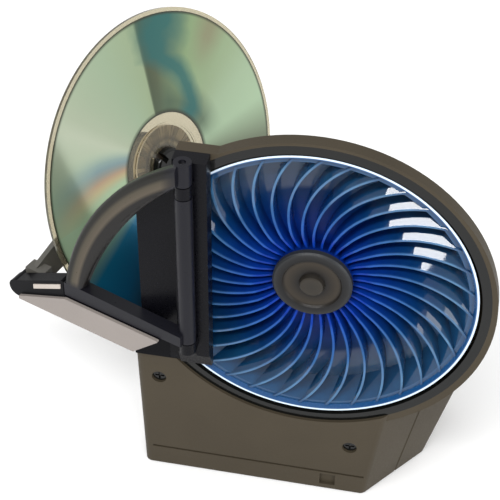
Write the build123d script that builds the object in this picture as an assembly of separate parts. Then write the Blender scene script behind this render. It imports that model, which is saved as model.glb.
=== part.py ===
"""A desk-top disc repair machine.

A conical, vaned polishing wheel turns behind the round window of the housing.  An arched door
hangs from a hinge on the left column, above a slanted tray that stands on the base.  A carriage
slides along the tray's rail and carries the disc on a spindle, so that the disc's data side can
be brought up to the wheel's rim.

Frame: +X to the right, +Y to the back, +Z up.  The origin is on the table, straight below the
wheel's axle, in the plane of the wheel's front rim.  Sizes are in millimetres.
"""
import math
import os

from build123d import *

os.makedirs("parts", exist_ok=True)

# ------------------------------------------------------------------ driving dimensions
# disc
disc_radius = 60.0
disc_thickness = 1.2
disc_bore_radius = 7.5
data_inner_radius = 20.5
data_edge = 1.5
data_thickness = 0.1
stack_ring_radius = 17.0
stack_ring_width = 0.8
stack_ring_height = 0.3
disc_turn = 27.9        # degrees that the disc's data side is turned to the front
disc_lean = 16.2        # degrees that the disc leans back
disc_inset = 15.53      # disc's centre in from the carriage shoe's middle, along the tray
disc_behind = 7.58      # disc's foremost edge behind the tray's front face
disc_drop = 7.05        # disc's centre below the wheel's

# polishing wheel
axle_height = 97.0
wheel_radius = 56.7
wheel_depth = 12.0
rim_band_width = 1.1
rim_wall = 1.6
pad_thickness = 1.0
vane_count = 36
vane_thickness = 0.8
vane_front_drop = 0.7
vane_sweep = 24.0
wheel_web = 1.8
rim_band_depth = 1.4
vane_root = 13.0
vane_root_overlap = 0.8
vane_slant = 26.0
vane_dish = 8.0
vane_edge = 1.4
wheel_hub_radius = 13.8
cap_edge = 0.6
cap_rim = 3.4
cap_dish = 0.7
hub_recess = 3.6
hub_cap_thickness = 2.4
hub_boss_radius = 4.0
hub_boss_height = 1.2

# axle, bearings and drive
axle_radius = 2.0
running_clearance = 0.04
bush_wall = 2.0
bush_flange = 1.2
pulley_width = 4.4
wheel_pulley_radius = 20.0
motor_pulley_radius = 5.0
belt_thickness = 1.2
belt_width = 2.6
belt_gap = 0.3
pulley_flange = 0.8
motor_x = 4.0
motor_roof_gap = 3.6
motor_radius = 12.0
motor_length = 20.0
motor_shaft_radius = 1.0
motor_nose_radius = 3.5
motor_shaft_clearance = 0.05
motor_shaft_end = 2.0
motor_edge = 1.5
motor_tail = 1.4
motor_screw_radius = 1.0
motor_screw_offset = 8.0
motor_screw_head = 0.8
pan_gap = 1.5
pan_thickness = 1.8
pan_clearance = 0.4
pulley_gap = 1.6
plate_gap = 2.2
plate_thickness = 2.6
plate_margin = 1.8
plate_neck_half = 8.0
plate_passage_gap = 0.5
pillar_radius = 2.2
pillar_bore = 5.0
pillar_inset = 5.0
pillar_angles = (40.0, 140.0, 238.0, 312.0)
axle_tail = 2.2
axle_clip_gap = 0.3
clip_width = 1.6
clip_thickness = 0.8

# housing
front_y = -2.0
split_y = 12.0
rear_y = 54.0
base_drop = 39.0        # base's top below the wheel's axle
base_past = 3.1         # base's left edge beyond the window
base_right = 23.6
wall_right = 43.7
wall_bend_y = 24.0
rear_left = -24.0
side_depth = 14.0
left_flare = 0.024
corner_flare = 0.125
right_flare = 0.25
base_round = 2.8        # base's upright corners
shell_wall = 2.4
window_gap = 1.0
ring_width = 5.2
ring_side = 4.0
ring_drop = 1.0         # ring's outside circle below the axle
dome_back_y = 36.0
dome_slope = 0.84
bezel_width = 3.2
bezel_back = 1.6
ring_front = -0.8
shoulder_right = -12.0
shoulder_drop = 12.0
groove_height = 9.2
groove_width = 0.9
groove_depth = 0.6
groove_inset = 3.5
notch_x = 10.0
notch_width = 5.8
notch_bottom = 2.6
notch_height = 5.6
notch_depth = 1.2
left_screw_inset = 7.1
left_screw_drop = 10.8
right_screw_x = 17.5
right_screw_drop = 33.2
screw_head_radius = 2.4
screw_recess = 2.4
screw_head_height = 1.4
screw_slot_length = 3.4
screw_slot_width = 0.7
screw_boss_wall = 1.6
screw_recess_gap = 0.3
screw_shank_radius = 1.3
bay_offset = 48.3       # distance of the disc bay's wall from the wheel's centre
bay_clearance = 5.33    # bay's floor below the disc
bay_front = 2.5
far = 300.0             # larger than the machine, for cuts that run right through

# left column
column_inset = 12.7     # column's left side in from the window's edge
column_width = 11.4
column_front = -6.0
column_rise = 53.5
column_foot_depth = 1.6
column_slant = 8.0
column_back = -0.9
guard_past = 1.1        # guard's left edge beyond the window
guard_front = -1.9
guard_rise = 17.4
guard_outer_drop = 24.0
guard_inner_drop = 10.0
seam_width = 0.7
seam_depth = 0.4
rib_width = 4.6
rib_depth = 0.9

# arched door and the tray below it; out is measured from the door's own zero, away from the hinge
hinge_inset = 4.5       # hinge axis in from the column's left side
hinge_y = -10.0
barrel_radius = 3.0
pin_radius = 1.2
pin_clearance = 0.05
knuckle_height = 4.6
knuckle_gap = 0.4
knuckle_web = 1.8
knuckle_low_rise = 13.4  # lower fixed knuckle above the base's top
knuckle_high_drop = 10.8  # upper fixed knuckle below the column's top
pin_inset = 0.2
pin_top_inset = 1.4
door_angle = 21.0       # degrees between the door's face and the housing's front
door_front_offset = 4.4  # from the door's front face back to the hinge axis
door_hinge_inset = 6.5   # from the hinge axis out to the door's own zero
door_wall = 5.0
tray_rise = 6.5         # tray's bottom above the base's top
tray_height = 16.0
parting_rise = 11.0     # door's parting line above the tray's bottom
door_gap = 0.4
bracket_inset = 0.2
bracket_back = 1.2
tray_cut_height = 10.0
tray_cut_inner = 2.5
tray_cut_outer = 13.5
tray_length = 70.1
toe_start = 45.0
toe_radius = 3.7
toe_step = 1.5
toe_strip_width = 2.0
toe_strip_drop = 1.6
toe_strip_from = 45.2
toe_strip_to = 58.0
toe_strip_thickness = 0.4
arch_rise = 2.5
arch_width = 8.0
arch_bulge = 9.4
arch_inner_bulge = 4.8
arch_round = 1.5
arch_foot_u = 43.6
arch_foot_rise = 0.5
fascia_height = 10.6
fascia_thickness = 1.2
fascia_start = 2.6
fascia_taper = 43.0
fascia_toe_inset = 5.0
fascia_tip = 1.4
tray_floor_depth = 4.5
tray_floor_thickness = 2.2
rail_radius = 1.5
rail_rise = 5.3         # rail's axis above the tray's bottom
rail_back = 2.6
rail_end_inset = 1.9
rail_end_wall = 1.7
rail_end_height = 5.2

# carriage
pad_clearance = 0.4     # left between the pad and the disc when the carriage is home
slide_clearance = 0.06
shoe_end_gap = 0.3
shoe_length = 8.2
shoe_height = 7.6
shoe_depth = 5.2
shoe_gap = 0.35
arm_thickness = 2.6
arm_root_half = 9.0
arm_foot_half = 4.0
arm_shoulder_along = -46.0
arm_shoulder_up = -6.5
boss_step = 1.0
boss_radius = 11.0
boss_gap = 0.8
spindle_radius = 3.0
spindle_clearance = 0.04
hub_flange_radius = 15.5
hub_flange_thickness = 2.0
hub_neck_clearance = 0.05
spindle_cap_radius = 7.2
spindle_cap_height = 3.0
finger_count = 3
finger_width = 2.2
retainer_radius = 5.0
retainer_thickness = 1.2
retainer_gap = 0.3
cap_round = 1.2

# controls, sockets, feet
button_radius = 4.0
button_travel = 1.5
button_clearance = 0.25
button_proud = 2.4
button_x = 29.0
button_seat = 0.3
button_flange = 1.2
button_round = 0.6
button_stem_radius = 1.5
switch_width = 6.4
switch_front = 46.4
button_z = 38.0
socket_z = 16.0
socket_width = 9.0
socket_height = 11.0
socket_bore_radius = 3.2
socket_bore_depth = 9.0
socket_pin_radius = 1.0
socket_pin_inset = 1.0
cut_past = 1.0          # how far a cut runs on past the face it leaves
board_thickness = 1.6
board_width = 22.0
board_height = 38.0
board_back = 43.0
board_bottom = 7.0
board_post_radius = 2.4
board_edge = 0.6
board_post_bore = 5.0
foot_radius = 5.0
foot_height = 1.6
foot_proud = 0.6
foot_places = [(33.0, 46.0), (-16.0, 46.0)]
foot_strip_left_inset = 8.8
foot_strip_right_inset = 9.6
foot_strip_width = 8.0
foot_strip_inset = 0.9
floor_thickness = 2.4
floor_clearance = 0.15

# ------------------------------------------------------------------ derived places
turn = math.radians(disc_turn)
lean = math.radians(disc_lean)
disc_normal = Vector(math.cos(lean) * math.cos(turn), -math.cos(lean) * math.sin(turn), math.sin(lean))
disc_along = Vector(math.sin(turn), math.cos(turn), 0)

wheel_centre = Vector(0, 0, axle_height)
rim_reach = math.hypot(disc_normal.X, disc_normal.Z)
rim_slope = -disc_normal.Y / rim_reach
window_radius = wheel_radius + window_gap
ring_radius = window_radius + ring_width
base_top = axle_height - base_drop
base_left = -window_radius - base_past
bay_floor = axle_height - disc_drop - disc_radius * math.cos(lean) - bay_clearance
column_left = column_inset - window_radius
column_right = column_left + column_width
guard_left = -window_radius - guard_past
hinge_x = column_left + hinge_inset
left_screw_x = base_left + left_screw_inset
column_top = axle_height + column_rise
knuckle_low_z = base_top + knuckle_low_rise
knuckle_high_z = column_top - knuckle_high_drop
arch_top_z = column_top + arch_rise
arch_foot_z = base_top + tray_rise + tray_height + arch_foot_rise
tray_bottom = base_top + tray_rise
tray_top = tray_bottom + tray_height
parting_z = tray_bottom + parting_rise
bracket_top = tray_bottom + tray_floor_thickness
bracket_right = -math.sqrt(window_radius ** 2 - (axle_height - bracket_top) ** 2)
bracket_left = base_left - left_flare * base_top + bracket_inset
rail_height = tray_bottom + rail_rise
rail_end = tray_length - rail_end_inset
shoe_centre = rail_end - rail_end_wall - shoe_end_gap - shoe_length / 2
shoe_bottom_z = tray_bottom + tray_floor_thickness + shoe_gap
door_turn = math.radians(door_angle)
door_along = Vector(-math.cos(door_turn), math.sin(door_turn), 0)
door_back = Vector(math.sin(door_turn), math.cos(door_turn), 0)
hinge_point = Vector(hinge_x, hinge_y, 0)
door_zero = hinge_point + door_along * door_hinge_inset - door_back * door_front_offset
disc_spot = door_zero + door_along * (shoe_centre - disc_inset) + door_back * (disc_radius + disc_behind)
disc_centre = Vector(disc_spot.X, disc_spot.Y, axle_height - disc_drop)
motor_z = base_top - shell_wall - motor_roof_gap - motor_radius
pan_front = wheel_depth + pan_gap
pan_back = pan_front + pan_thickness
pulley_front = pan_back + pulley_gap
pulley_back = pulley_front + pulley_width
drive_plate_front = pulley_back + plate_gap
drive_plate_back = drive_plate_front + plate_thickness
bush_radius = axle_radius + running_clearance + bush_wall
board_front = board_back - board_thickness
disc_to_rim = (wheel_centre - disc_centre).dot(disc_normal) - disc_thickness - data_thickness
disc_to_rim -= wheel_radius * rim_reach
carriage_travel = -(disc_to_rim - pad_clearance) / door_along.dot(disc_normal)
rail_start = shoe_centre - carriage_travel - shoe_length / 2 - shoe_end_gap - rail_end_wall


def facing_back(y):
    """Sketch plane across the machine at depth y: local x is +X, local y is +Z, it extrudes forward."""
    return Plane(origin=(0, y, 0), x_dir=(1, 0, 0), z_dir=(0, -1, 0))


def cylinder_y(radius, y_from, y_to, x=0.0, z=0.0):
    """Round bar along the depth axis."""
    section = Pos(x, z) * Circle(radius)
    return extrude(facing_back(y_to) * section, y_to - y_from)


def tube_y(outer, inner, y_from, y_to, x=0.0, z=0.0):
    """Round tube along the depth axis."""
    section = Pos(x, z) * Circle(outer) - Pos(x, z) * Circle(inner)
    return extrude(facing_back(y_to) * section, y_to - y_from)


def bar_z(radius, z_from, z_to, x, y):
    """Upright round bar."""
    return Pos(x, y, z_from) * Cylinder(radius, z_to - z_from, align=(Align.CENTER, Align.CENTER, Align.MIN))


def block(x_from, x_to, y_from, y_to, z_from, z_to):
    """Box between two corners."""
    middle = Pos((x_from + x_to) / 2, (y_from + y_to) / 2, (z_from + z_to) / 2)
    return middle * Box(x_to - x_from, y_to - y_from, z_to - z_from)


def slab_y(section, y_from, y_to):
    """Flat sketch in X and Z, thick along the depth axis."""
    return extrude(facing_back(y_to) * section, y_to - y_from)


def spun(points):
    """Solid of revolution about the wheel's axle from (radius, depth) points."""
    profile = make_face(Polyline(points, close=True))
    return Pos(0, 0, axle_height) * revolve(profile, axis=Axis.Y)


def about_disc(offset_from, offset_to, section):
    """Sketch in the disc's plane, thick along the disc's axis between two offsets."""
    plane = Plane(origin=disc_centre + disc_normal * offset_from, x_dir=disc_along, z_dir=disc_normal)
    return extrude(plane * section, offset_to - offset_from)


def in_door(back_from, back_to, section):
    """Sketch in the door's face (out from the hinge, up), thick between two depths behind its front."""
    plane = Plane(origin=door_zero + door_back * back_from, x_dir=door_along, z_dir=door_back)
    return extrude(plane * section, back_to - back_from)


def door_point(out, back, height):
    """Point given by the door's own distances."""
    spot = door_zero + door_along * out + door_back * back
    return Vector(spot.X, spot.Y, height)


def cone_inside(depth):
    """Radius about the axle that stays inside the housing's conical back at a depth."""
    return ring_radius - shell_wall - ring_drop - dome_slope * (depth - ring_side)


def pillar_places():
    """Pillars between the pan and the drive plate, on a ring inside the conical back."""
    ring = cone_inside(drive_plate_back) - pillar_inset
    turns = [math.radians(angle) for angle in pillar_angles]
    return [(ring * math.cos(angle), axle_height + ring * math.sin(angle)) for angle in turns]


def save(shape, name):
    """Write one sub-part."""
    shape.label = name
    export_step(shape, f"parts/{name}.step")


# ------------------------------------------------------------------ housing
def drawn_in(corners, inset):
    """Corners of an anticlockwise outline after each of its sides is moved in by the inset."""
    moved = []
    for before, here, after in zip(corners[-1:] + corners[:-1], corners, corners[1:] + corners[:1]):
        first = (here - before).normalized()
        second = (after - here).normalized()
        inward = Vector(-first.Y - second.Y, first.X + second.X)
        moved.append(here + inward * (inset / (1 + first.dot(second))))
    return moved


def base_outline(height, inset):
    """Plan of the base at a height, drawn in by the wall where it is hollow."""
    corners = [
        Vector(base_left - left_flare * height, front_y),
        Vector(base_right + corner_flare * height, front_y),
        Vector(wall_right + right_flare * height, wall_bend_y),
        Vector(wall_right + right_flare * height, rear_y),
        Vector(rear_left, rear_y),
        Vector(base_left - left_flare * height, side_depth),
    ]
    points = [(corner.X, corner.Y) for corner in drawn_in(corners, inset)]
    return make_face(Plane.XY.offset(height) * Polyline(points, close=True))


def base_block(bottom, top, inset):
    """Tapered base between two heights."""
    return loft([base_outline(bottom, inset), base_outline(top, inset)], ruled=True)


def rounded_base():
    """Outer form of the base, its upright corners rounded."""
    outer = base_block(foot_proud, base_top, 0)
    uprights = [edge for edge in outer.edges() if edge.bounding_box().size.Z > foot_height]
    return fillet(uprights, base_round)


def dome(radius, y_from, back):
    """Conical back of the housing round the wheel."""
    return Pos(0, 0, -ring_drop) * spun([
        (0, y_from),
        (radius, y_from),
        (radius, ring_side),
        (radius - dome_slope * (back - ring_side), back),
        (0, back),
    ])


def bay_space(offset, front, floor):
    """Room for the disc: left of the bay's slanted wall, behind a depth and above a height."""
    plane = Plane(origin=wheel_centre - disc_normal * offset, x_dir=disc_along, z_dir=disc_normal * -1)
    room = extrude(plane * Rectangle(far, far), far)
    return room & block(-far, far, front, far, floor, far)


def screw_places():
    """Front case screws, left and right."""
    return [(left_screw_x, base_top - left_screw_drop), (right_screw_x, base_top - right_screw_drop)]


def make_front_shell():
    """Front moulding: the base's front and the ring round the window."""
    ahead = block(-far, far, -far, split_y, 0, far)
    ring = dome(ring_radius, ring_front, dome_back_y) & block(column_left, far, -far, split_y, 0, far)
    shoulder = block(column_left, shoulder_right, ring_front, ring_side,
                     column_top - shoulder_drop, column_top)
    shell = (rounded_base() & ahead) + ring + shoulder
    hollow = base_block(foot_proud - shell_wall, base_top - shell_wall, shell_wall)
    hollow -= bay_space(bay_offset - shell_wall, bay_front - shell_wall, bay_floor - shell_wall)
    shell -= hollow
    in_dome = block(column_left + shell_wall, far, -far, far, base_top - shell_wall, far)
    shell -= dome(ring_radius - shell_wall, ring_front + shell_wall, dome_back_y) & in_dome
    in_dome -= block(-far, 0, -far, far, 0, base_top)
    shell -= cylinder_y(window_radius, -far, rear_y, 0, axle_height) - in_dome
    shell -= cylinder_y(window_radius, -far, ring_side, 0, axle_height)
    shell -= cylinder_y(window_radius + bezel_width, -far, bezel_back, 0, axle_height)
    for x, z in screw_places():
        boss = cylinder_y(screw_head_radius + screw_boss_wall, front_y + shell_wall, bay_front, x, z)
        shell += boss
        shell -= cylinder_y(screw_head_radius + screw_recess_gap, -far, front_y + screw_recess, x, z)
        shell -= cylinder_y(screw_shank_radius, -far, bay_front + screw_recess_gap, x, z)
    shell -= block(base_left + groove_inset, base_right, -far, front_y + groove_depth,
                   groove_height, groove_height + groove_width)
    shell -= block(notch_x - notch_width / 2, notch_x + notch_width / 2, -far, front_y + notch_depth,
                   notch_bottom, notch_bottom + notch_height)
    seam = base_block(foot_proud, base_top, 0) + dome(ring_radius, 0, dome_back_y)
    seam -= base_block(foot_proud, base_top - seam_depth, seam_depth)
    seam -= dome(ring_radius - seam_depth, 0, dome_back_y)
    shell -= seam & block(-far, far, split_y - seam_width, split_y, 0, far)
    return shell - bay_space(bay_offset, bay_front, bay_floor)


def board_posts():
    """Two posts on the rear wall that carry the board, low right and high left."""
    inset = board_post_radius + board_edge
    half = board_width / 2 - inset
    return [(button_x - half, board_bottom + board_height - inset), (button_x + half, board_bottom + inset)]


def make_rear_shell():
    """Rear moulding: conical back, the base's rear and the slanted wall of the disc bay."""
    behind = block(-far, far, split_y, far, 0, far)
    outer = (rounded_base() + dome(ring_radius, 0, dome_back_y)) & behind
    outer -= bay_space(bay_offset, bay_front, bay_floor)
    inner = base_block(foot_proud - shell_wall, base_top - shell_wall, shell_wall)
    inner += dome(ring_radius - shell_wall, 0, dome_back_y - shell_wall)
    inner -= bay_space(bay_offset - shell_wall, bay_front - shell_wall, bay_floor - shell_wall)
    shell = outer - inner
    for x, z in board_posts():
        shell += cylinder_y(board_post_radius, board_back, rear_y - shell_wall, x, z)
        shell -= cylinder_y(screw_shank_radius, board_back - cut_past, board_back + board_post_bore, x, z)
    neck = plate_neck_half + plate_passage_gap
    shell -= block(motor_x - neck, motor_x + neck, split_y - cut_past, drive_plate_back + plate_passage_gap,
                   base_top - 2 * shell_wall, axle_height - cone_inside(drive_plate_back) + 2 * shell_wall)
    shell -= cylinder_y(button_radius + button_clearance, rear_y - 2 * shell_wall, far, button_x, button_z)
    shell -= block(button_x - socket_width / 2, button_x + socket_width / 2, rear_y - 2 * shell_wall, far,
                   socket_z - socket_height / 2, socket_z + socket_height / 2)
    return shell


def make_bezel():
    """Gloss ring set into the window's edge."""
    ring = tube_y(window_radius + bezel_width, window_radius, ring_front, bezel_back, 0, axle_height)
    return ring & block(column_left, far, -far, far, 0, far)


def make_hinge_column():
    """Ribbed column in front of the wheel's left side, with the two fixed hinge knuckles."""
    side = make_face(Polyline([
        (column_front, column_top), (column_back, column_top), (column_back, base_top),
        (front_y - column_foot_depth / 2, base_top), (column_front, base_top + column_slant),
    ], close=True))
    plane = Plane(origin=(column_left, 0, 0), x_dir=(0, 1, 0), z_dir=(1, 0, 0))
    post = extrude(plane * side, column_right - column_left)
    post += block(column_right - rib_width, column_right, column_front - rib_depth, column_front,
                  base_top + column_slant, column_top)
    for bottom in (knuckle_low_z, knuckle_high_z):
        post += bar_z(barrel_radius, bottom, bottom + knuckle_height, hinge_x, hinge_y)
        post += block(hinge_x - knuckle_web, hinge_x + barrel_radius, hinge_y, column_front,
                      bottom, bottom + knuckle_height)
    return post - bar_z(pin_radius, 0, far, hinge_x, hinge_y)


def make_wheel_guard():
    """Dark plate in front of the wheel's far left, its foot on the base beside the tray's bracket."""
    plate = make_face(Polyline([
        (guard_left, base_top + guard_rise), (bracket_right, base_top + guard_rise),
        (bracket_right, base_top), (column_left, base_top),
        (column_left, column_top - guard_inner_drop), (guard_left, column_top - guard_outer_drop),
    ], close=True))
    return slab_y(plate, guard_front, column_back)


def make_hinge_pin():
    """Pin through all the knuckles, held in the two fixed ones."""
    return bar_z(pin_radius, knuckle_low_z + pin_inset, arch_top_z - pin_top_inset, hinge_x, hinge_y)


def make_base_floor():
    """Plate that closes the base from below."""
    inset = shell_wall + floor_clearance
    return base_block(foot_height, foot_height + floor_thickness, inset)


def make_feet():
    """Rubber strip under the front edge, stepped round the case's wall, and two pads at the back."""
    front = front_y + foot_strip_inset
    left = base_left + foot_strip_left_inset
    right = base_right - foot_strip_right_inset
    strip = block(left, right, front, front + foot_strip_width, 0, foot_proud)
    strip += block(left, right, front_y + shell_wall + floor_clearance,
                   front + foot_strip_width, foot_proud, foot_height)
    pads = [bar_z(foot_radius, 0, foot_height, x, y) for x, y in foot_places]
    return Compound(children=[strip] + pads)


def make_case_screws():
    """Two case screws in the front's recesses."""
    screws = []
    for x, z in screw_places():
        head_back = front_y + screw_recess
        head = cylinder_y(screw_head_radius, head_back - screw_head_height, head_back, x, z)
        head -= slab_y(Pos(x, z) * Rectangle(screw_slot_length, screw_slot_width),
                       head_back - screw_head_height, head_back - screw_head_height / 2)
        head -= slab_y(Pos(x, z) * Rectangle(screw_slot_width, screw_slot_length),
                       head_back - screw_head_height, head_back - screw_head_height / 2)
        screws.append(head + cylinder_y(screw_shank_radius, head_back, bay_front - screw_recess_gap, x, z))
    return Compound(children=screws)


# ------------------------------------------------------------------ drive behind the wheel
def make_wheel_pan():
    """Round plate behind the wheel that carries the front bush and the drive plate's pillars."""
    pan = cylinder_y(cone_inside(pan_back) - pan_clearance, pan_front, pan_back, 0, axle_height)
    pan -= bay_space(bay_offset - shell_wall - floor_clearance, -far, 0)
    pan -= cylinder_y(bush_radius, 0, far, 0, axle_height)
    for x, z in pillar_places():
        pan += cylinder_y(pillar_radius, pan_back, drive_plate_front, x, z)
        pan -= cylinder_y(screw_shank_radius, drive_plate_front - pillar_bore, drive_plate_front + cut_past,
                          x, z)
    return pan


def make_drive_plate():
    """Plate for the motor and the rear bush: a web between its pillars and a neck down to the motor."""
    corners = pillar_places()
    section = make_face(Polyline(corners, close=True))
    for x, z in corners:
        section += Pos(x, z) * Circle(pillar_radius + plate_margin)
    neck = Rectangle(2 * plate_neck_half, axle_height - motor_z)
    section += Pos(motor_x, (axle_height + motor_z) / 2) * neck
    section += Pos(motor_x, motor_z) * Circle(motor_radius + plate_margin)
    plate = slab_y(section, drive_plate_front, drive_plate_back)
    plate -= cylinder_y(bush_radius, 0, far, 0, axle_height)
    plate -= cylinder_y(motor_nose_radius + motor_shaft_clearance, 0, far, motor_x, motor_z)
    for x, z in corners:
        plate -= cylinder_y(screw_shank_radius, 0, far, x, z)
    for side in (-1, 1):
        plate -= cylinder_y(motor_screw_radius, 0, far, motor_x + side * motor_screw_offset, motor_z)
    return plate


def make_plate_screws():
    """Screws that hold the drive plate on its pillars."""
    screws = []
    for x, z in pillar_places():
        head = cylinder_y(pillar_radius, drive_plate_back, drive_plate_back + screw_head_height, x, z)
        shank = cylinder_y(screw_shank_radius, drive_plate_front - pillar_bore + cut_past, drive_plate_back,
                           x, z)
        screws.append(head + shank)
    return Compound(children=screws)


def make_bush(y_from, y_to):
    """Flanged bush; the flange is on its front."""
    bush = tube_y(bush_radius, axle_radius + running_clearance, y_from, y_to, 0, axle_height)
    flange = tube_y(bush_radius + bush_flange, axle_radius + running_clearance, y_from - bush_flange, y_from,
                    0, axle_height)
    return bush + flange


def make_motor():
    """Small motor, its nose through the drive plate."""
    can = cylinder_y(motor_radius, drive_plate_back, drive_plate_back + motor_length, motor_x, motor_z)
    can = fillet(can.edges().filter_by(GeomType.CIRCLE).sort_by(Axis.Y)[-1], motor_edge)
    nose = cylinder_y(motor_nose_radius, drive_plate_front, drive_plate_back, motor_x, motor_z)
    tail = cylinder_y(motor_nose_radius, drive_plate_back + motor_length,
                      drive_plate_back + motor_length + motor_tail, motor_x, motor_z)
    bore = cylinder_y(motor_shaft_radius + motor_shaft_clearance, drive_plate_front - cut_past,
                      drive_plate_back + motor_length, motor_x, motor_z)
    return can + nose + tail - bore


def make_motor_screws():
    """Two screws that hold the motor to the drive plate."""
    screws = []
    for side in (-1, 1):
        x = motor_x + side * motor_screw_offset
        head = cylinder_y(2 * motor_screw_radius, drive_plate_front - motor_screw_head, drive_plate_front,
                          x, motor_z)
        screws.append(head + cylinder_y(motor_screw_radius, drive_plate_front, drive_plate_back, x, motor_z))
    return Compound(children=screws)


def make_pulley(radius, bore, x, z):
    """Flanged pulley with a plain bore."""
    core = cylinder_y(radius, pulley_front, pulley_back, x, z)
    for start in (pulley_front, pulley_back - pulley_flange):
        core += cylinder_y(radius + pulley_flange, start, start + pulley_flange, x, z)
    return core - cylinder_y(bore, pulley_front - cut_past, pulley_back + cut_past, x, z)


def belt_outline(grow):
    """Two pulley circles and the belt's two straight runs."""
    large = wheel_pulley_radius + grow
    small = motor_pulley_radius + grow
    run = Vector(motor_x, motor_z - axle_height)
    gap = run.length
    heading = math.atan2(run.Y, run.X)
    lean_in = math.acos((large - small) / gap)
    corners = []
    for side in (1, -1):
        angle = heading + side * lean_in
        on_large = (large * math.cos(angle), axle_height + large * math.sin(angle))
        on_small = (motor_x + small * math.cos(angle), motor_z + small * math.sin(angle))
        corners += [on_large, on_small] if side == 1 else [on_small, on_large]
    web = make_face(Polyline(corners, close=True))
    return web + Pos(0, axle_height) * Circle(large) + Pos(motor_x, motor_z) * Circle(small)


def make_belt():
    """Flat belt round both pulleys, in its groove."""
    middle = (pulley_front + pulley_back) / 2
    section = belt_outline(belt_gap + belt_thickness) - belt_outline(belt_gap)
    return slab_y(section, middle - belt_width / 2, middle + belt_width / 2)


def make_motor_shaft():
    """Motor shaft inside its can and through the pulley."""
    return cylinder_y(motor_shaft_radius, pulley_front, drive_plate_back + motor_length - motor_shaft_end,
                      motor_x, motor_z)


# ------------------------------------------------------------------ polishing wheel
def cone_radius(depth):
    """Outer radius of the wheel at a depth: its rim is parallel to the leaning disc there."""
    return wheel_radius - rim_slope * depth


def vane_line(side):
    """Arc along one side of a vane, from the hub to past the rim, swept back towards the rim."""
    points = []
    for share in (0.0, 0.5, 1.0):
        radius = vane_root + share * (wheel_radius - vane_root)
        angle = math.radians(-vane_sweep * share * share)
        across = side * vane_thickness / 2
        points.append((
            radius * math.cos(angle) - across * math.sin(angle + math.radians(-vane_slant * share)),
            radius * math.sin(angle) + across * math.cos(angle + math.radians(-vane_slant * share)),
        ))
    return points


def make_flex_wheel():
    """Moulded wheel: hub, back web, curved flexible vanes and the wall behind the polishing pad."""
    body_cone = pad_thickness
    shell = spun([
        (cone_radius(rim_band_depth) - body_cone, rim_band_depth),
        (cone_radius(wheel_depth) - body_cone, wheel_depth),
        (axle_radius, wheel_depth),
        (axle_radius, hub_recess + hub_cap_thickness),
        (wheel_hub_radius, hub_recess + hub_cap_thickness),
        (wheel_hub_radius, wheel_depth - wheel_web),
        (cone_radius(wheel_depth - wheel_web) - body_cone - rim_wall, wheel_depth - wheel_web),
        (cone_radius(rim_band_depth) - body_cone - rim_wall, rim_band_depth),
    ])
    left = vane_line(-1)
    right = vane_line(1)
    outline = Wire([
        ThreePointArc(*left).edge(), Line(left[2], right[2]).edge(),
        ThreePointArc(*right).edge(), Line(right[0], left[0]).edge(),
    ])
    vane = slab_y(Pos(0, axle_height) * make_face(outline), 0, wheel_depth - wheel_web / 2)
    room = spun([
        (wheel_hub_radius - vane_root_overlap, hub_recess + hub_cap_thickness + vane_front_drop),
        (wheel_hub_radius + vane_dish, hub_recess + vane_front_drop),
        (cone_radius(vane_front_drop) - vane_edge, vane_front_drop),
        (cone_radius(wheel_depth) - body_cone - rim_wall / 2, wheel_depth),
        (wheel_hub_radius - vane_root_overlap, wheel_depth),
    ])
    vane = vane & room
    axis = Axis((0, 0, axle_height), (0, 1, 0))
    vanes = [vane.rotate(axis, index * 360 / vane_count) for index in range(vane_count)]
    return shell.fuse(*vanes)


def make_rim_band():
    """Pale edge band at the wheel's front rim."""
    return spun([
        (wheel_radius, 0),
        (cone_radius(rim_band_depth), rim_band_depth),
        (cone_radius(rim_band_depth) - rim_band_width, rim_band_depth),
        (wheel_radius - rim_band_width, 0),
    ])


def make_polishing_pad():
    """Soft abrasive band on the wheel's conical rim."""
    return spun([
        (cone_radius(rim_band_depth), rim_band_depth),
        (cone_radius(wheel_depth), wheel_depth),
        (cone_radius(wheel_depth) - pad_thickness, wheel_depth),
        (cone_radius(rim_band_depth) - pad_thickness, rim_band_depth),
    ])


def make_hub_cap():
    """Cap over the wheel's hub, with a raised rim, a dished face and a centre boss."""
    back = hub_recess + hub_cap_thickness
    return spun([
        (0, back),
        (wheel_hub_radius, back),
        (wheel_hub_radius, hub_recess + cap_edge),
        (wheel_hub_radius - cap_edge, hub_recess),
        (wheel_hub_radius - cap_rim, hub_recess),
        (wheel_hub_radius - cap_rim - cap_edge, hub_recess + cap_dish),
        (hub_boss_radius + cap_edge, hub_recess + cap_dish),
        (hub_boss_radius, hub_recess - hub_boss_height + cap_edge / 2),
        (hub_boss_radius - cap_edge, hub_recess - hub_boss_height),
        (0, hub_recess - hub_boss_height),
    ])


def make_axle():
    """Steel axle of the wheel."""
    return cylinder_y(axle_radius, hub_recess + hub_cap_thickness, drive_plate_back + axle_tail,
                      0, axle_height)


def make_axle_clip():
    """Retaining clip on the axle's rear end."""
    start = drive_plate_back + axle_clip_gap
    clip = tube_y(axle_radius + clip_width, axle_radius, start, start + clip_thickness, 0, axle_height)
    return clip - block(-clip_width / 2, clip_width / 2, 0, far,
                        axle_height - far, axle_height - axle_radius / 2)


# ------------------------------------------------------------------ door with its arched guard
def arc_middle(start, end, bulge):
    """Middle of an arc from start to end that stands off its chord by the bulge, to the upper left."""
    chord = Vector(end[0] - start[0], end[1] - start[1])
    out = Vector(-chord.Y, chord.X).normalized() * bulge
    if out.X < 0:
        out = out * -1
    return ((start[0] + end[0]) / 2 + out.X, (start[1] + end[1]) / 2 + out.Y)


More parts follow.
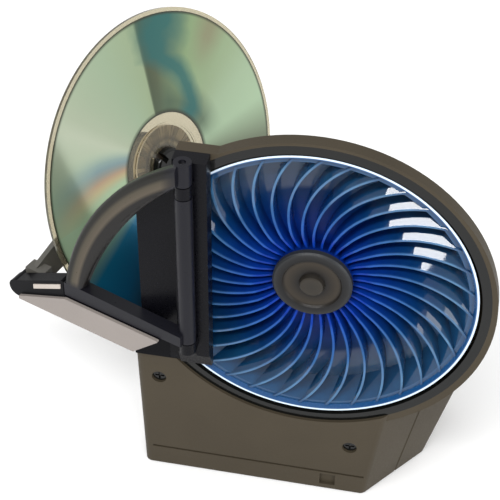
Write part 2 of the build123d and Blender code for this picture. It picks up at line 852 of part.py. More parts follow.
def arch_section():
    """Band of the arch in the door's face, from the hinge down to the tray's toe."""
    outer_from = (-door_hinge_inset, arch_top_z)
    outer_to = (arch_foot_u, arch_foot_z)
    inner_from = (-door_hinge_inset, arch_top_z - arch_width)
    inner_to = (arch_foot_u - arch_width, arch_foot_z)
    outer_mid = arc_middle(outer_from, outer_to, arch_bulge)
    inner_mid = arc_middle(inner_from, inner_to, arch_inner_bulge)
    outline = Wire([
        ThreePointArc(outer_from, outer_mid, outer_to).edge(), Line(outer_to, inner_to).edge(),
        ThreePointArc(inner_to, inner_mid, inner_from).edge(), Line(inner_from, outer_from).edge(),
    ])
    return make_face(outline)


def door_bar_section():
    """Bar along the door's bottom, from the hinge out to the arch's foot."""
    return make_face(Polyline([
        (-door_hinge_inset, tray_top), (-door_hinge_inset, parting_z + door_gap),
        (arch_foot_u, parting_z + door_gap), (arch_foot_u, tray_top + toe_step),
        (arch_foot_u - arch_width - cut_past, tray_top + toe_step),
    ], close=True))


def make_door_frame():
    """Door moulding: arch, bottom bar and hinge barrel."""
    arch = in_door(0, door_wall, arch_section())
    arch = fillet(arch.edges().filter_by(GeomType.CIRCLE), arch_round)
    frame = arch + in_door(0, door_wall, door_bar_section())
    frame += bar_z(barrel_radius, knuckle_low_z, arch_top_z, hinge_x, hinge_y)
    for bottom in (knuckle_low_z, knuckle_high_z):
        frame -= bar_z(barrel_radius + knuckle_gap, bottom - knuckle_gap,
                       bottom + knuckle_height + knuckle_gap, hinge_x, hinge_y)
    frame -= block(-far, far, -far, far, 0, knuckle_low_z + knuckle_height)
    return frame - bar_z(pin_radius + pin_clearance, 0, far, hinge_x, hinge_y)


def tray_section():
    """Front wall of the tray, cut away under the hinge, with its tapered, rounded toe."""
    toe_out = tray_length - toe_radius
    wall = make_face(Polyline([
        (tray_cut_inner, parting_z), (tray_cut_inner, tray_bottom + tray_cut_height),
        (tray_cut_outer, tray_bottom), (toe_out, tray_bottom),
        (toe_out, tray_bottom + 2 * toe_radius), (toe_start, tray_top + toe_step),
        (arch_foot_u + door_gap, tray_top + toe_step), (arch_foot_u + door_gap, parting_z),
    ], close=True))
    return wall + Pos(toe_out, tray_bottom + toe_radius) * Circle(toe_radius)


def make_tray():
    """Tray moulding: front wall, floor, two end walls for the rail and the bracket on the base's top."""
    tray = in_door(0, door_wall, tray_section())
    floor = Pos((tray_cut_outer + rail_end) / 2, tray_bottom + tray_floor_thickness / 2)
    floor *= Rectangle(rail_end - tray_cut_outer, tray_floor_thickness)
    floor &= tray_section()
    tray += in_door(door_wall, door_wall + tray_floor_depth, floor)
    for out in (rail_start, rail_end - rail_end_wall):
        end = Pos(out + rail_end_wall / 2, rail_height) * Rectangle(rail_end_wall, rail_end_height)
        tray += in_door(door_wall, door_wall + tray_floor_depth, end & tray_section())
    bracket = block(bracket_left, bracket_right, front_y, bracket_back, base_top, bracket_top)
    return tray + bracket - rail_bar(rail_radius)


def rail_bar(radius):
    """Round guide rail along the tray, behind its wall."""
    start = door_point(rail_start, door_wall + rail_back, rail_height)
    plane = Plane(origin=start, x_dir=door_back, z_dir=door_along)
    return extrude(plane * Circle(radius), rail_end - rail_start)


def make_fascia():
    """Pale strip along the lower front of the tray."""
    top = tray_bottom + fascia_height
    toe = tray_length - fascia_toe_inset
    strip = make_face(Polyline([
        (fascia_start, tray_bottom + tray_cut_height), (tray_cut_outer, tray_bottom), (toe, tray_bottom),
        (toe, tray_bottom + fascia_tip), (fascia_taper, top), (fascia_start, top),
    ], close=True))
    return in_door(-fascia_thickness, 0, strip)


def toe_slope(out):
    """Height of the toe's sloping top at a distance out from the door's zero."""
    share = (out - toe_start) / (tray_length - toe_radius - toe_start)
    return tray_top + toe_step + share * (tray_bottom + 2 * toe_radius - tray_top - toe_step)


def make_toe_strip():
    """Pale wear strip just under the toe's sloping top."""
    upper = [(out, toe_slope(out) - toe_strip_drop) for out in (toe_strip_from, toe_strip_to)]
    lower = [(out, height - toe_strip_width) for out, height in reversed(upper)]
    return in_door(-toe_strip_thickness, 0, make_face(Polyline(upper + lower, close=True)))


# ------------------------------------------------------------------ disc carriage
def in_disc_plane(point):
    """Along and up distances of a point from the disc's centre, in the disc's plane."""
    away = point - disc_centre
    return away.dot(disc_along), away.dot(disc_normal.cross(disc_along))


def shoe_middle():
    """Middle of the carriage's shoe."""
    return door_point(shoe_centre, door_wall + shoe_gap + shoe_depth / 2, shoe_bottom_z + shoe_height / 2)


def arm_faces():
    """Back and front faces of the arm along the disc's axis: it passes through the shoe's middle."""
    middle = (shoe_middle() - disc_centre).dot(disc_normal)
    return middle - arm_thickness / 2, middle + arm_thickness / 2


def arm_section():
    """Arm in the disc's plane from the spindle boss out to the shoe, with a raised shoulder."""
    foot = Vector(*in_disc_plane(shoe_middle()))
    heading = foot.normalized()
    side = Vector(-heading.Y, heading.X)
    corners = [side * arm_root_half, foot + side * arm_foot_half, foot - side * arm_foot_half,
               Vector(arm_shoulder_along, arm_shoulder_up), side * -arm_root_half]
    arm = make_face(Polyline([(corner.X, corner.Y) for corner in corners], close=True))
    return arm + Circle(boss_radius)


def make_disc_carriage():
    """Carriage moulding: shoe on the rail, arm behind the disc and the spindle's bearing boss."""
    arm_back, arm_front = arm_faces()
    arm = about_disc(arm_back, arm_front, arm_section())
    shoe_out = shoe_centre + shoe_length / 2
    behind_wall = Pos(shoe_out - far / 2, shoe_bottom_z + far / 2) * Rectangle(far, far)
    arm &= in_door(door_wall + shoe_gap, far, behind_wall)
    shoe = Pos(shoe_centre, shoe_bottom_z + shoe_height / 2) * Rectangle(shoe_length, shoe_height)
    carriage = arm + in_door(door_wall + shoe_gap, door_wall + shoe_gap + shoe_depth, shoe)
    carriage += about_disc(arm_front, -hub_flange_thickness - boss_gap, Circle(boss_radius - boss_step))
    carriage -= rail_bar(rail_radius + slide_clearance)
    bore = Circle(spindle_radius + spindle_clearance)
    return carriage - about_disc(arm_back - cut_past, 0, bore)


def make_spindle():
    """Steel spindle through the carriage's boss."""
    back = arm_faces()[0] - retainer_gap - retainer_thickness
    return about_disc(back, -hub_flange_thickness, Circle(spindle_radius))


def make_spindle_retainer():
    """Collar that keeps the spindle in its boss."""
    front = arm_faces()[0] - retainer_gap
    return about_disc(front - retainer_thickness, front, Circle(retainer_radius) - Circle(spindle_radius))


def make_disc_hub():
    """Hub that the disc sits on: flange behind it and a neck through its hole."""
    hub = about_disc(-hub_flange_thickness, 0, Circle(hub_flange_radius))
    hub += about_disc(0, disc_thickness, Circle(disc_bore_radius - hub_neck_clearance))
    return hub


def make_spindle_cap():
    """Black clamping cap with spring fingers on the data side."""
    cap = about_disc(disc_thickness, disc_thickness + spindle_cap_height, Circle(spindle_cap_radius))
    top = cap.faces().sort_by(Axis(disc_centre, disc_normal))[-1]
    cap = fillet(top.edges(), cap_round)
    for index in range(finger_count):
        slot = Rot(0, 0, index * 360 / finger_count) * Pos(spindle_cap_radius, 0)
        slot *= Rectangle(spindle_cap_radius, finger_width)
        cap -= about_disc(disc_thickness, disc_thickness + spindle_cap_height + cut_past, slot)
    return cap


def make_disc():
    """Clear disc with its stacking ring; the data layer lies in its data side."""
    body = about_disc(0, disc_thickness, Circle(disc_radius) - Circle(disc_bore_radius))
    ring = Circle(stack_ring_radius) - Circle(stack_ring_radius - stack_ring_width)
    body += about_disc(disc_thickness, disc_thickness + stack_ring_height, ring)
    return body


def make_data_layer():
    """Mirror layer between the clear hub zone and the disc's edge."""
    layer = Circle(disc_radius - data_edge) - Circle(data_inner_radius)
    return about_disc(disc_thickness, disc_thickness + data_thickness, layer)


# ------------------------------------------------------------------ controls and socket
def make_start_button():
    """Push button through the rear wall, with a flange inside and a stem to the switch."""
    inner = rear_y - shell_wall - button_seat
    cap = cylinder_y(button_radius, inner, rear_y + button_proud, button_x, button_z)
    cap = fillet(cap.edges().filter_by(GeomType.CIRCLE).sort_by(Axis.Y)[-1], button_round)
    flange = cylinder_y(button_radius + button_flange, inner - button_flange, inner, button_x, button_z)
    stem = cylinder_y(button_stem_radius, switch_front + button_travel + button_seat, inner - button_flange,
                      button_x, button_z)
    return cap + flange + stem


def make_switch():
    """Switch body on the board, behind the button."""
    half = switch_width / 2
    return block(button_x - half, button_x + half, board_back, switch_front, button_z - half, button_z + half)


def make_board():
    """Control board on two posts of the rear shell."""
    board = block(button_x - board_width / 2, button_x + board_width / 2, board_front, board_back,
                  board_bottom, board_bottom + board_height)
    for x, z in board_posts():
        board -= cylinder_y(screw_shank_radius, 0, far, x, z)
    return board


def make_board_screws():
    """Two screws that hold the board on its posts."""
    screws = []
    for x, z in board_posts():
        head = cylinder_y(board_post_radius, board_front - screw_head_height, board_front, x, z)
        shank = cylinder_y(screw_shank_radius, board_front, board_back + board_post_bore - cut_past, x, z)
        screws.append(head + shank)
    return Compound(children=screws)


def make_power_socket():
    """Low-voltage inlet in the rear wall."""
    body = block(button_x - socket_width / 2, button_x + socket_width / 2, board_back, rear_y,
                 socket_z - socket_height / 2, socket_z + socket_height / 2)
    body -= cylinder_y(socket_bore_radius, rear_y - socket_bore_depth, rear_y + cut_past, button_x, socket_z)
    return body + cylinder_y(socket_pin_radius, rear_y - socket_bore_depth, rear_y - socket_pin_inset,
                             button_x, socket_z)


parts = {
    "front_shell": make_front_shell,
    "rear_shell": make_rear_shell,
    "window_bezel": make_bezel,
    "hinge_column": make_hinge_column,
    "hinge_pin": make_hinge_pin,
    "wheel_guard": make_wheel_guard,
    "base_floor": make_base_floor,
    "feet": make_feet,
    "case_screws": make_case_screws,
    "wheel_pan": make_wheel_pan,
    "drive_plate": make_drive_plate,
    "plate_screws": make_plate_screws,
    "front_bush": lambda: make_bush(pan_front, pan_back),
    "rear_bush": lambda: make_bush(drive_plate_front, drive_plate_back),
    "drive_motor": make_motor,
    "motor_screws": make_motor_screws,
    "drive_belt": make_belt,
    "control_board": make_board,
    "board_screws": make_board_screws,
    "start_switch": make_switch,
    "power_socket": make_power_socket,
    "start_button": make_start_button,
    "motor_shaft": make_motor_shaft,
    "motor_pulley": lambda: make_pulley(motor_pulley_radius, motor_shaft_radius, motor_x, motor_z),
    "flex_wheel": make_flex_wheel,
    "rim_band": make_rim_band,
    "polishing_pad": make_polishing_pad,
    "hub_cap": make_hub_cap,
    "wheel_axle": make_axle,
    "wheel_pulley": lambda: make_pulley(wheel_pulley_radius, axle_radius, 0, axle_height),
    "axle_clip": make_axle_clip,
    "door_frame": make_door_frame,
    "tray": make_tray,
    "tray_fascia": make_fascia,
    "toe_strip": make_toe_strip,
    "guide_rail": lambda: rail_bar(rail_radius),
    "disc_carriage": make_disc_carriage,
    "spindle": make_spindle,
    "spindle_retainer": make_spindle_retainer,
    "disc_hub": make_disc_hub,
    "spindle_cap": make_spindle_cap,
    "disc": make_disc,
    "disc_data_layer": make_data_layer,
}

for name, make in parts.items():
    save(make(), name)
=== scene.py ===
import math

import bpy
from mathutils import Matrix, Quaternion, Vector

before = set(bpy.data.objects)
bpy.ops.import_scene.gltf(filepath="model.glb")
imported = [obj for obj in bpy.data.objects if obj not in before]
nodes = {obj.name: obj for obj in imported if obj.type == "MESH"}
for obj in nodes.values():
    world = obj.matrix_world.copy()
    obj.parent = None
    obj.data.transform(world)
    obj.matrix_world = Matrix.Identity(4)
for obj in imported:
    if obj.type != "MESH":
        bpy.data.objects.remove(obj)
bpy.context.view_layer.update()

# ------------------------------------------------------------------ places in the frame
ORIGIN = Vector((0, 0, 0))
RIGHT = Vector((1, 0, 0))
BACK = Vector((0, 1, 0))
UP = Vector((0, 0, 1))

AXLE = Vector((0, 0, 0.097))            # the wheel's axle, in the plane of its front rim
CAP_RADIUS = 0.0140
RIM_INNER = 0.05590
VANE_ROOT = 0.010
VANE_TIP = 0.0567
VANE_CREST = [(0.0138, 0.0067), (0.0218, 0.0043), (0.0553, 0.0007)]    # (radius, depth) of the front edges

DISC_CENTRE = Vector((-0.0674, 0.068, 0.08995))
DISC_TURN = math.radians(27.9)          # of the data side from the machine's right towards its front
DISC_LEAN = math.radians(16.2)          # of the data side from upright towards the sky
SEAT_RADIUS = 0.0156
DISC_NORMAL = Vector((
    math.cos(DISC_LEAN) * math.cos(DISC_TURN),
    -math.cos(DISC_LEAN) * math.sin(DISC_TURN),
    math.sin(DISC_LEAN),
))
DISC_ALONG = Vector((math.sin(DISC_TURN), math.cos(DISC_TURN), 0))
DISC_UP = DISC_NORMAL.cross(DISC_ALONG)

HINGE = Vector((-0.0405, -0.010, 0))
DOOR_TURN = math.radians(21.0)
DOOR_OUT = Vector((-math.cos(DOOR_TURN), math.sin(DOOR_TURN), 0))
DOOR_BACK = Vector((math.sin(DOOR_TURN), math.cos(DOOR_TURN), 0))
DOOR_INSET = 0.0065
DOOR_OFFSET = 0.0044
DOOR_ZERO = HINGE + DOOR_OUT * DOOR_INSET - DOOR_BACK * DOOR_OFFSET
BARREL_RADIUS = 0.0040
BARREL_FADE = 0.0072
DOOR_FOOT_TOP = 0.0815
DOOR_FOOT_FADE = 0.0845
ARCH_TOP = (-0.0065, 0.153)             # ends of the arch's outer edge, as (out, up) from DOOR_ZERO
ARCH_FOOT = (0.0436, 0.081)
ARCH_BULGE = 0.0094
ARCH_BAND = 0.0080

# ------------------------------------------------------------------ studio
WORLD_STRENGTH = 0.9
FLOOR_SIZE = 6.0
CAMERA_PLACE = (0.0480, -0.35366, 0.41981)
CAMERA_AZIMUTH = math.radians(11.0)
CAMERA_ELEVATION = math.radians(40.5)
CAMERA_ROLL = math.radians(0.5)
CAMERA_SENSOR = 36.0
CAMERA_LENS = 102.6


def linear(red, green, blue):
    """Scene-linear colour of an 8-bit screen colour."""
    values = []
    for value in (red, green, blue):
        share = value / 255
        values.append(share / 12.92 if share <= 0.04045 else ((share + 0.055) / 1.055) ** 2.4)
    return (*values, 1.0)


def arc_centre(start, end, bulge):
    """Centre of an arc in (out, up) that stands off its chord by the bulge, and its radius."""
    chord = (end[0] - start[0], end[1] - start[1])
    length = math.hypot(*chord)
    radius = (length * length / 4 + bulge * bulge) / (2 * bulge)
    inward = (chord[1] / length, -chord[0] / length)
    middle = ((start[0] + end[0]) / 2, (start[1] + end[1]) / 2)
    return (middle[0] + inward[0] * (radius - bulge), middle[1] + inward[1] * (radius - bulge)), radius


def at(degrees):
    """Share of a turn as Shader.turn() gives it."""
    return degrees / 360 + 0.5


# ------------------------------------------------------------------ node helpers
class Shader:
    """A material with one Principled shader, and short ways to add nodes to it."""

    def __init__(self, name, roughness=0.5, metallic=0.0, color=(80, 80, 80)):
        self.material = bpy.data.materials.new(name)
        self.material.use_nodes = True
        self.tree = self.material.node_tree
        self.out = self.tree.nodes["Principled BSDF"]
        self.set("Roughness", roughness)
        self.set("Metallic", metallic)
        self.set("Base Color", linear(*color))
        self.coords = self.tree.nodes.new("ShaderNodeTexCoord").outputs["Object"]

    def set(self, socket, value):
        self.out.inputs[socket].default_value = value

    def link(self, source, target):
        self.tree.links.new(source, target)

    def use(self, source, socket):
        self.link(source, self.out.inputs[socket])

    def math(self, kind, first, second=0.0):
        """Result of a Math node; first and second are each a socket or a number."""
        node = self.tree.nodes.new("ShaderNodeMath")
        node.operation = kind
        for index, value in enumerate((first, second)):
            if isinstance(value, (int, float)):
                node.inputs[index].default_value = value
            else:
                self.link(value, node.inputs[index])
        return node.outputs[0]

    def product(self, first, second):
        return self.math("MULTIPLY", first, second)

    def larger(self, first, second):
        return self.math("MAXIMUM", first, second)

    def vectors(self, kind, first, second=None):
        """Vector Math node; first is a socket, and second a socket or a fixed vector."""
        node = self.tree.nodes.new("ShaderNodeVectorMath")
        node.operation = kind
        self.link(first, node.inputs[0])
        if isinstance(second, Vector):
            node.inputs[1].default_value = second
        elif second is not None:
            self.link(second, node.inputs[1])
        return node

    def dot(self, origin, direction):
        """Distance of a surface point from origin, measured along direction."""
        away = self.vectors("SUBTRACT", self.coords, origin)
        return self.vectors("DOT_PRODUCT", away.outputs[0], direction).outputs["Value"]

    def radius(self, centre, first, second):
        """Distance of a surface point from centre, in the plane of first and second."""
        x = self.dot(centre, first)
        y = self.dot(centre, second)
        return self.math("SQRT", self.math("ADD", self.product(x, x), self.product(y, y)))

    def turn(self, centre, first, second):
        """Turn round centre from first towards second, as a share from 0 to 1; first itself is at 0.5."""
        angle = self.math("ARCTAN2", self.dot(centre, second), self.dot(centre, first))
        return self.math("ADD", self.math("DIVIDE", angle, 2 * math.pi), 0.5)

    def range(self, value, low, high, to_low=0.0, to_high=1.0):
        """Value mapped from low and high to to_low and to_high, and clamped to them."""
        node = self.tree.nodes.new("ShaderNodeMapRange")
        self.link(value, node.inputs["Value"])
        for socket, number in zip(("From Min", "From Max", "To Min", "To Max"), (low, high, to_low, to_high)):
            node.inputs[socket].default_value = number
        return node.outputs[0]

    def spread(self, noise, low, high):
        """Noise, which stays mostly between 0.3 and 0.7, spread from low to high."""
        return self.range(noise, 0.3, 0.7, low, high)

    def near(self, value, centre, none, full):
        """1 where value is within full of centre, and 0 from none away."""
        return self.range(self.math("ABSOLUTE", self.math("SUBTRACT", value, centre)), none, full)

    def ramp(self, value, stops, low=0.0, high=1.0):
        """Colour ramp over a value between low and high; stops are (place, colour)."""
        node = self.tree.nodes.new("ShaderNodeValToRGB")
        ends = node.color_ramp.elements
        while len(ends) < len(stops):
            ends.new(0.5)
        for end, (place, color) in zip(ends, stops):
            end.position = (place - low) / (high - low)
            end.color = linear(*color)
        self.link(self.range(value, low, high), node.inputs[0])
        return node.outputs["Color"]

    def noise(self, scale, detail=3.0, roughness=0.55, stretch=None):
        """Noise value; scale is in features per metre."""
        node = self.tree.nodes.new("ShaderNodeTexNoise")
        node.inputs["Scale"].default_value = scale
        node.inputs["Detail"].default_value = detail
        node.inputs["Roughness"].default_value = roughness
        source = self.coords
        if stretch:
            mapping = self.tree.nodes.new("ShaderNodeMapping")
            mapping.inputs["Scale"].default_value = stretch
            self.link(source, mapping.inputs["Vector"])
            source = mapping.outputs[0]
        self.link(source, node.inputs["Vector"])
        return node.outputs["Fac"]

    def drift(self):
        """Slow, soft noise for changes of colour over a whole piece."""
        return self.noise(28, 2)

    def mix(self, factor, first, second, kind="MIX"):
        """Mix of two colours, each a socket or an 8-bit colour."""
        node = self.tree.nodes.new("ShaderNodeMix")
        node.data_type = "RGBA"
        node.blend_type = kind
        for socket, value in ((node.inputs[0], factor), (node.inputs[6], first), (node.inputs[7], second)):
            if isinstance(value, (int, float)):
                socket.default_value = value
            elif isinstance(value, tuple):
                socket.default_value = linear(*value)
            else:
                self.link(value, socket)
        return node.outputs[2]

    def bump(self, height, distance, strength=1.0):
        node = self.tree.nodes.new("ShaderNodeBump")
        node.inputs["Strength"].default_value = strength
        node.inputs["Distance"].default_value = distance
        self.link(height, node.inputs["Height"])
        self.use(node.outputs[0], "Normal")


def grained(name, roughness=0.5, grain=1500, depth=0.00004, coat=0.0, shine=0.3):
    """Plastic with a fine grain and a roughness that varies with it, still without its colour."""
    shader = Shader(name, roughness)
    shader.set("Specular IOR Level", shine)
    fine = shader.noise(grain, 4)
    shader.use(shader.spread(fine, roughness - 0.07, roughness + 0.07), "Roughness")
    shader.bump(fine, depth, 0.6)
    if coat:
        shader.set("Coat Weight", coat)
        shader.set("Coat Roughness", 0.08)
    return shader


def moulded(name, light, dark, roughness=0.5, **surface):
    """Grained plastic whose colour drifts slowly between dark and light."""
    shader = grained(name, roughness, **surface)
    shader.use(shader.mix(shader.drift(), dark, light), "Base Color")
    return shader


def turned_metal(name, light, dark, roughness, stretch):
    """Metal with fine machining lines along one direction."""
    shader = Shader(name, roughness, 1.0)
    lines = shader.noise(900, 4, 0.6, stretch)
    shader.use(shader.mix(lines, dark, light), "Base Color")
    shader.use(shader.spread(lines, roughness - 0.08, roughness + 0.1), "Roughness")
    shader.bump(lines, 0.00002, 0.5)
    return shader


# ------------------------------------------------------------------ plain materials
case = moulded("case_plastic", (69, 62, 50), (56, 50, 40), grain=1700, depth=0.00005, shine=0.12)
carriage = moulded("carriage_plastic", (92, 90, 84), (74, 72, 67), 0.4)
pale = moulded("pale_grey", (142, 134, 129), (128, 121, 116), 0.42, grain=900, depth=0.00003)
# The toe strip's pale colour is a painted highlight along the toe's sloping top edge.
toe_highlight = moulded("toe_highlight_pale", (192, 182, 174), (170, 161, 152), 0.42, grain=900, depth=0.00003)
gloss = moulded("gloss_black", (16, 17, 16), (9, 10, 9), 0.14, grain=1300, depth=0.00001)
column = moulded("column_plastic", (13, 13, 18), (7, 7, 11), 0.3, grain=1400, depth=0.00003, shine=0.10)
tray = moulded("tray_plastic", (12, 12, 16), (7, 7, 10), 0.34, depth=0.00003, shine=0.06)
rubber = moulded("soft_rubber", (22, 22, 22), (14, 14, 14), 0.8, grain=700, depth=0.0001)
belt = moulded("belt_rubber", (18, 18, 18), (10, 10, 10), 0.7, grain=900, depth=0.00008)
button = moulded("button_plastic", (58, 96, 158), (40, 74, 132), 0.34)
pulley = moulded("pulley_plastic", (222, 218, 206), (204, 200, 186), 0.45)
board = moulded("board_green", (20, 92, 48), (12, 70, 36), 0.32, grain=1100, depth=0.00002, coat=0.4)
pan = moulded("pan_metal", (60, 60, 62), (46, 46, 48), 0.45, grain=1200, depth=0.00003)
steel = turned_metal("steel", (205, 205, 208), (150, 150, 154), 0.3, (1, 12, 1))
bronze = turned_metal("bronze", (196, 160, 96), (150, 118, 64), 0.42, (8, 1, 8))
can = turned_metal("motor_can", (200, 200, 200), (150, 150, 152), 0.34, (1, 14, 1))

pad = Shader("pad_fabric", 0.9)
weave = pad.noise(2600, 5, 0.7)
pad.use(pad.mix(weave, (54, 66, 92), (92, 108, 140)), "Base Color")
pad.bump(weave, 0.0002, 0.9)
pad.set("Sheen Weight", 0.3)

# ------------------------------------------------------------------ door: bands of painted highlight and painted shade along its arch
door_dark = grained("door_plastic", roughness=0.34, depth=0.00003, shine=0.16)
arch_centre, arch_radius = arc_centre(ARCH_TOP, ARCH_FOOT, ARCH_BULGE)
arch_middle = DOOR_ZERO + DOOR_OUT * arch_centre[0] + UP * arch_centre[1]
inside_edge = door_dark.math("SUBTRACT", arch_radius, door_dark.radius(arch_middle, DOOR_OUT, UP))
# Across the arch's width: painted shade at its outer and inner edges, a painted highlight along its middle.
arch_highlight_band = door_dark.ramp(
    inside_edge,
    [(0.0, (24, 24, 20)), (0.0022, (30, 29, 25)), (0.0034, (74, 68, 56)), (0.0052, (84, 76, 64)),
     (0.0064, (24, 22, 21))],
    0.0, ARCH_BAND,
)
barrel_or_foot = door_dark.larger(
    door_dark.range(door_dark.radius(HINGE, RIGHT, BACK), BARREL_FADE, BARREL_RADIUS),
    door_dark.range(door_dark.dot(ORIGIN, UP), DOOR_FOOT_FADE, DOOR_FOOT_TOP),
)
mottling = door_dark.mix(door_dark.drift(), (215, 215, 215), (255, 255, 255))
arch_lit_and_shaded = door_dark.mix(1.0, arch_highlight_band, mottling, "MULTIPLY")
door_dark.use(door_dark.mix(barrel_or_foot, arch_lit_and_shaded, (22, 22, 28)), "Base Color")

# ------------------------------------------------------------------ wheel: rim, cap and vanes
white_rim = grained("rim_white", roughness=0.25, grain=900, depth=0.00002, coat=0.3)
off_front_face = white_rim.larger(
    white_rim.range(white_rim.dot(ORIGIN, BACK), 0.0001, 0.0003),
    white_rim.range(white_rim.radius(AXLE, RIGHT, UP), 0.05605, RIM_INNER),
)
white_rim.use(white_rim.mix(off_front_face, (206, 222, 238), (22, 70, 118)), "Base Color")

cap = grained("cap_plastic", roughness=0.38, grain=1300, depth=0.00003, shine=0.2)
cap_rings = cap.ramp(
    cap.radius(AXLE, RIGHT, UP),
    [(0.0, (40, 37, 33)), (0.0036, (46, 42, 36)), (0.0048, (22, 20, 19)), (0.0090, (48, 42, 34)),
     (0.0106, (18, 18, 19)), (0.0122, (30, 30, 31)), (0.0138, (46, 48, 50))],
    0.0, CAP_RADIUS,
)
cap.use(cap_rings, "Base Color")

vanes = Shader("vane_blue", 0.25)
vanes.set("Specular IOR Level", 0.1)
vane_radius = vanes.radius(AXLE, RIGHT, UP)
vane_depth = vanes.dot(ORIGIN, BACK)
# Vane colours by radius: a darker painted shade for the walls deep in the grooves, and a lighter painted
# highlight along the front edges.
groove_shade = vanes.ramp(
    vane_radius,
    [(0.012, (4, 20, 70)), (0.016, (8, 52, 150)), (0.026, (8, 50, 128)), (0.036, (12, 58, 112)),
     (0.046, (20, 74, 114)), (0.0530, (18, 66, 104)), (0.0567, (10, 46, 80))],
    VANE_ROOT, VANE_TIP,
)
crest_highlight = vanes.ramp(
    vane_radius,
    [(0.012, (20, 58, 136)), (0.022, (30, 76, 154)), (0.036, (50, 94, 142)), (0.050, (62, 108, 146)),
     (0.0545, (20, 66, 106)), (0.0567, (8, 40, 74))],
    VANE_ROOT, VANE_TIP,
)
(root_radius, root_depth), (bend_radius, bend_depth), (tip_radius, tip_depth) = VANE_CREST
crest_line = vanes.math(
    "MINIMUM",
    vanes.range(vane_radius, root_radius, bend_radius, root_depth, bend_depth),
    vanes.range(vane_radius, bend_radius, tip_radius, bend_depth, tip_depth),
)
behind_crest = vanes.math("SUBTRACT", vane_depth, crest_line)
# The painted highlight covers the first 0.1 to 0.7 mm behind each crest; further back is painted shade.
vane_lit_and_shaded = vanes.mix(vanes.range(behind_crest, 0.0007, 0.0001), groove_shade, crest_highlight)
streaks = vanes.spread(vanes.noise(160, 3), 0.0, 0.3)
vanes.use(vanes.mix(streaks, vane_lit_and_shaded, (2, 22, 60)), "Base Color")
vanes.set("Subsurface Weight", 0.1)
vanes.set("Subsurface Radius", (0.001, 0.002, 0.006))

# The vanes' tips have a gloss coat, whose normal leans to the front so that it catches the key light.
normal = vanes.tree.nodes.new("ShaderNodeNewGeometry").outputs["Normal"]
lean = vanes.tree.nodes.new("ShaderNodeCombineXYZ")
vanes.link(vanes.range(vane_radius, 0.036, 0.039, 0.0, -0.95), lean.inputs["Y"])
leaned = vanes.vectors("ADD", normal, lean.outputs[0])
vanes.use(vanes.vectors("NORMALIZE", leaned.outputs[0]).outputs[0], "Coat Normal")
vanes.use(vanes.range(vane_radius, 0.036, 0.038, 0.0, 0.85), "Coat Weight")
vanes.set("Coat Roughness", 0.04)

# ------------------------------------------------------------------ disc: clear body, data side and seat
clear = Shader("disc_clear", 0.06, 0.0, (192, 184, 158))
clear.set("Transmission Weight", 0.9)
clear.set("Specular IOR Level", 0.3)
clear.set("IOR", 1.45)
clear.use(clear.spread(clear.noise(90, 2), 0.03, 0.10), "Roughness")

mirror = Shader("disc_mirror", 0.16, 0.45)
disc_radius = mirror.radius(DISC_CENTRE, DISC_ALONG, DISC_UP)
disc_turn = mirror.turn(DISC_CENTRE, DISC_ALONG, DISC_UP)
# The data side's colours are painted reflections and painted diffraction colours, fixed to the disc so they
# turn with it: sectors of reflected surroundings, a darker inner patch, a teal swath, a copper streak and a
# swept rainbow.
reflected_sectors = mirror.ramp(disc_turn, [
    (0.0, (166, 194, 160)), (at(-166), (164, 190, 156)), (at(-159), (110, 150, 140)),
    (at(-152), (12, 104, 140)), (at(-134), (10, 84, 120)), (at(-120), (30, 40, 48)), (at(-70), (26, 38, 46)),
    (at(-40), (40, 60, 60)), (at(-15), (100, 110, 88)), (at(2), (158, 182, 150)), (at(18), (154, 176, 144)),
    (at(32), (144, 164, 128)), (at(56), (132, 156, 114)), (at(68), (108, 128, 94)), (at(80), (80, 90, 64)),
    (at(87.0), (68, 80, 56)), (at(88.2), (150, 168, 132)), (at(108), (156, 176, 146)),
    (at(124), (164, 180, 152)), (at(134), (172, 184, 158)), (at(140), (184, 194, 170)),
    (at(150), (176, 190, 164)), (at(164), (162, 184, 154)), (1.0, (166, 194, 160)),
])
inner_shade = mirror.product(
    mirror.near(disc_turn, at(44), 0.13, 0.07),
    mirror.range(disc_radius, 0.034, 0.025, 0.0, 0.8),
)
waver = mirror.spread(mirror.noise(45, 3), -0.012, 0.012)
teal_place = mirror.math("ADD", mirror.range(disc_radius, 0.026, 0.043, at(38), at(76)), waver)
teal_reflection = mirror.product(mirror.near(disc_turn, teal_place, 0.052, 0.010), 0.9)
copper_reflection = mirror.product(
    mirror.near(disc_turn, at(46), 0.030, 0.004),
    mirror.range(disc_radius, 0.038, 0.052, 0.0, 0.6),
)
tinted_reflections = mirror.mix(inner_shade, reflected_sectors, (66, 88, 68))
tinted_reflections = mirror.mix(teal_reflection, tinted_reflections, (24, 96, 94))
tinted_reflections = mirror.mix(copper_reflection, tinted_reflections, (132, 116, 92))

swirl = mirror.math("ADD", disc_turn, mirror.range(disc_radius, 0.020, 0.058, 0.030, -0.028))
rainbow_sheen = mirror.ramp(swirl, [
    (at(146), (176, 196, 170)), (at(152), (140, 166, 158)), (at(158), (112, 140, 150)),
    (at(162), (132, 132, 128)), (at(166), (176, 140, 112)), (at(170), (184, 166, 122)),
    (at(176), (162, 186, 150)),
])
in_rainbow = mirror.product(
    mirror.range(swirl, at(144), at(154)),
    mirror.range(disc_radius, 0.057, 0.036, 0.15, 0.85),
)
dark_edges = mirror.larger(
    mirror.range(disc_radius, 0.0224, 0.0208),
    mirror.range(disc_radius, 0.0572, 0.0583),
)
reflection_colors = mirror.mix(in_rainbow, tinted_reflections, rainbow_sheen)
mirror.use(mirror.mix(dark_edges, reflection_colors, (46, 50, 34)), "Base Color")
mirror.set("Coat Weight", 0.25)
mirror.set("Coat Roughness", 0.03)

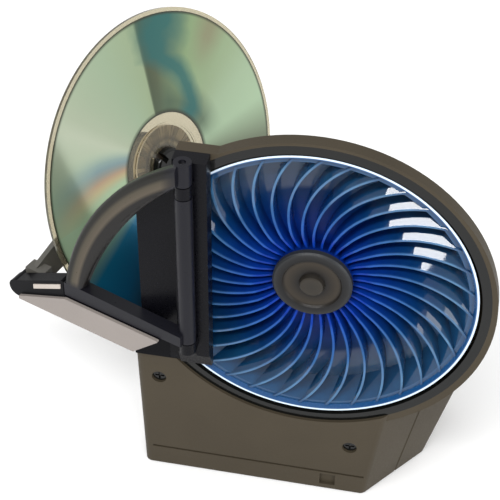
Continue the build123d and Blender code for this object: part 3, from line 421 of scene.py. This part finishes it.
seat = Shader("seat_cream", 0.3, 0.3)
seat_rings = seat.ramp(
    seat.radius(DISC_CENTRE, DISC_ALONG, DISC_UP),
    [(0.0, (60, 52, 40)), (0.0078, (54, 46, 38)), (0.0092, (204, 190, 164)), (0.0104, (110, 96, 76)),
     (0.0120, (200, 182, 152)), (0.0155, (216, 200, 172))],
    0.0, SEAT_RADIUS,
)
seat.use(seat_rings, "Base Color")
seat.bump(seat.noise(1200, 3), 0.00003, 0.5)

MATERIALS = {
    "front_shell": case, "rear_shell": case, "window_bezel": gloss, "hinge_column": column,
    "wheel_guard": column, "hinge_pin": steel, "base_floor": case, "feet": rubber, "case_screws": gloss,
    "wheel_pan": pan, "drive_plate": pan, "plate_screws": steel, "front_bush": bronze,
    "rear_bush": bronze, "drive_motor": can, "motor_screws": steel, "drive_belt": belt,
    "control_board": board, "board_screws": steel, "start_switch": gloss, "power_socket": gloss,
    "start_button": button, "motor_shaft": steel, "motor_pulley": pulley, "flex_wheel": vanes,
    "rim_band": white_rim, "polishing_pad": pad, "hub_cap": cap, "wheel_axle": steel,
    "wheel_pulley": pulley, "axle_clip": steel, "door_frame": door_dark, "tray": tray, "tray_fascia": pale,
    "toe_strip": toe_highlight, "guide_rail": steel, "disc_carriage": carriage, "spindle": steel,
    "spindle_retainer": steel, "disc_hub": seat, "spindle_cap": gloss, "disc": clear,
    "disc_data_layer": mirror,
}
for name, node in nodes.items():
    node.data.materials.clear()
    node.data.materials.append(MATERIALS[name].material)

# ------------------------------------------------------------------ floor, light and camera
bpy.ops.mesh.primitive_plane_add(size=FLOOR_SIZE)
floor = bpy.context.object
floor.name = "studio_floor"
ground = Shader("studio_white", 0.9, 0.0, (250, 250, 250))
ground.set("Specular IOR Level", 0.1)
floor.data.materials.append(ground.material)

world = bpy.data.worlds.new("studio")
bpy.context.scene.world = world
world.use_nodes = True
background = world.node_tree.nodes["Background"]
background.inputs["Color"].default_value = (1, 1, 1, 1)
background.inputs["Strength"].default_value = WORLD_STRENGTH


def softbox(name, place, aim, width, height, power, tilt=0.0):
    """Rectangular area light at a place, aimed at a point and turned about its own axis by tilt degrees."""
    data = bpy.data.lights.new(name, "AREA")
    data.shape = "RECTANGLE"
    data.size = width
    data.size_y = height
    data.energy = power
    light = bpy.data.objects.new(name, data)
    bpy.context.scene.collection.objects.link(light)
    light.location = place
    turned = Quaternion((0, 0, 1), math.radians(tilt))
    light.rotation_euler = ((Vector(aim) - Vector(place)).to_track_quat("-Z", "Y") @ turned).to_euler()


softbox("key", place=(-0.21, -0.68, 1.01), aim=(0, 0, 0.10), width=1.2, height=0.12, power=10.0, tilt=18.0)
softbox("side", place=(0.75, -0.60, 0.22), aim=(0, 0, 0.06), width=0.5, height=0.5, power=3.5)

camera_data = bpy.data.cameras.new("camera")
camera_data.sensor_width = CAMERA_SENSOR
camera_data.lens = CAMERA_LENS
camera = bpy.data.objects.new("camera", camera_data)
bpy.context.scene.collection.objects.link(camera)
bpy.context.scene.camera = camera
to_camera = Vector((
    math.sin(CAMERA_AZIMUTH) * math.cos(CAMERA_ELEVATION),
    -math.cos(CAMERA_AZIMUTH) * math.cos(CAMERA_ELEVATION),
    math.sin(CAMERA_ELEVATION),
))
level = Vector((math.cos(CAMERA_AZIMUTH), math.sin(CAMERA_AZIMUTH), 0))
upright = to_camera.cross(level)
frame_right = level * math.cos(CAMERA_ROLL) + upright * math.sin(CAMERA_ROLL)
frame_top = upright * math.cos(CAMERA_ROLL) - level * math.sin(CAMERA_ROLL)
pose = Matrix((frame_right, frame_top, to_camera)).transposed().to_4x4()
pose.translation = CAMERA_PLACE
camera.matrix_world = pose

bpy.context.scene.view_settings.view_transform = "Standard"
